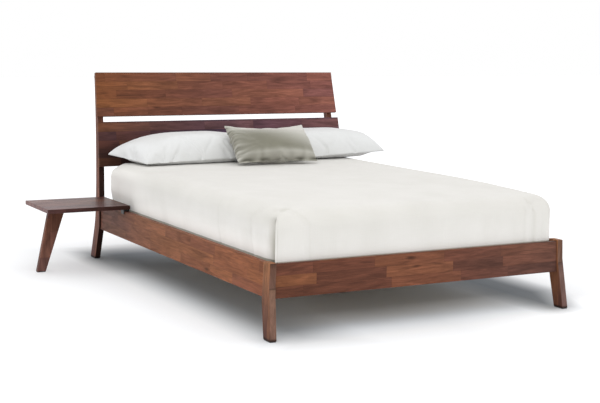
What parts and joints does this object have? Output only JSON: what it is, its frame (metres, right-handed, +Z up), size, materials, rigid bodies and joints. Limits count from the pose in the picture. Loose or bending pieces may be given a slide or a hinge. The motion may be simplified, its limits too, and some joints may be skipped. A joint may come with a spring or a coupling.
{
  "type": "sleigh bed",
  "caption": "Queen platform bed in stave-jointed wood: raked two-board headboard on curved posts, splayed legs, hanging nightstands, slat deck, mattress, coverlet, pillows and cushion.",
  "frame": {"origin": "middle of the whole footprint, nightstands included, on the floor", "axes": "+X to the right seen from the foot of the bed, +Y towards the headboard, +Z up"},
  "size_m": [2.504, 2.383, 1.0836],
  "materials": {
    "walnut": "satin",
    "deck_wood": "matte",
    "black_steel": "satin",
    "glide": "matte",
    "ticking": "matte",
    "coverlet_cotton": "matte",
    "pillow_cotton": "matte",
    "sage_satin": "satin"
  },
  "bodies": {
    "bed_frame": {"headboard_panel_upper": "walnut", "headboard_panel_lower": "walnut", "panel_spacer_upper_left": "walnut", "panel_spacer_upper_right": "walnut", "panel_spacer_lower_left": "walnut", "panel_spacer_lower_right": "walnut", "rear_post_left": "walnut", "front_leg_left": "walnut", "side_rail_left": "walnut", "rear_post_right": "walnut", "front_leg_right": "walnut", "side_rail_right": "walnut", "foot_rail": "walnut", "head_rail": "walnut", "corner_block_front_left": "deck_wood", "corner_block_front_right": "deck_wood", "corner_block_rear_left": "deck_wood", "corner_block_rear_right": "deck_wood", "slat_ledger_left": "deck_wood", "slat_ledger_right": "deck_wood", "center_beam": "deck_wood", "center_foot_1": "walnut", "center_foot_2": "walnut", "slat_01": "deck_wood", "slat_02": "deck_wood", "slat_03": "deck_wood", "slat_04": "deck_wood", "slat_05": "deck_wood", "slat_06": "deck_wood", "slat_07": "deck_wood", "slat_08": "deck_wood", "slat_09": "deck_wood", "slat_10": "deck_wood", "slat_11": "deck_wood", "slat_12": "deck_wood", "slat_13": "deck_wood", "slat_14": "deck_wood", "front_glide_left": "glide", "rear_glide_left": "glide", "front_glide_right": "glide", "rear_glide_right": "glide", "center_glide_1": "glide", "center_glide_2": "glide"},
    "nightstand_left": {"nightstand_top_left": "walnut", "nightstand_leg_left": "walnut", "nightstand_plate_left": "black_steel", "nightstand_glide_left": "glide", "hook_bracket_front_left": "black_steel", "hook_bracket_rear_left": "black_steel"},
    "nightstand_right": {"nightstand_top_right": "walnut", "nightstand_leg_right": "walnut", "nightstand_plate_right": "black_steel", "nightstand_glide_right": "glide", "hook_bracket_front_right": "black_steel", "hook_bracket_rear_right": "black_steel"},
    "bedding": {"mattress": "ticking", "coverlet": "coverlet_cotton"},
    "pillow_left": {"pillow_left": "pillow_cotton"},
    "pillow_right": {"pillow_right": "pillow_cotton"},
    "lumbar_cushion": {"lumbar_cushion": "sage_satin"}
  },
  "joints": [
    {"name": "mattress_lift", "type": "slide", "parent": "bed_frame", "child": "bedding", "axis": [0, 0, 1], "range_m": [0, 0.35]},
    {"name": "nightstand_left_lift", "type": "slide", "parent": "bed_frame", "child": "nightstand_left", "axis": [0, 0, 1], "range_m": [0, 0.12]},
    {"name": "nightstand_right_lift", "type": "slide", "parent": "bed_frame", "child": "nightstand_right", "axis": [0, 0, 1], "range_m": [0, 0.12]},
    {"name": "pillow_left_slide", "type": "slide", "parent": "bedding", "child": "pillow_left", "axis": [-1, 0, 0], "range_m": [0, 0.85]},
    {"name": "pillow_right_slide", "type": "slide", "parent": "bedding", "child": "pillow_right", "axis": [1, 0, 0], "range_m": [0, 0.85]},
    {"name": "cushion_lift", "type": "slide", "parent": "bedding", "child": "lumbar_cushion", "axis": [0, -0.6, 0.8], "range_m": [0, 0.4]}
  ]
}
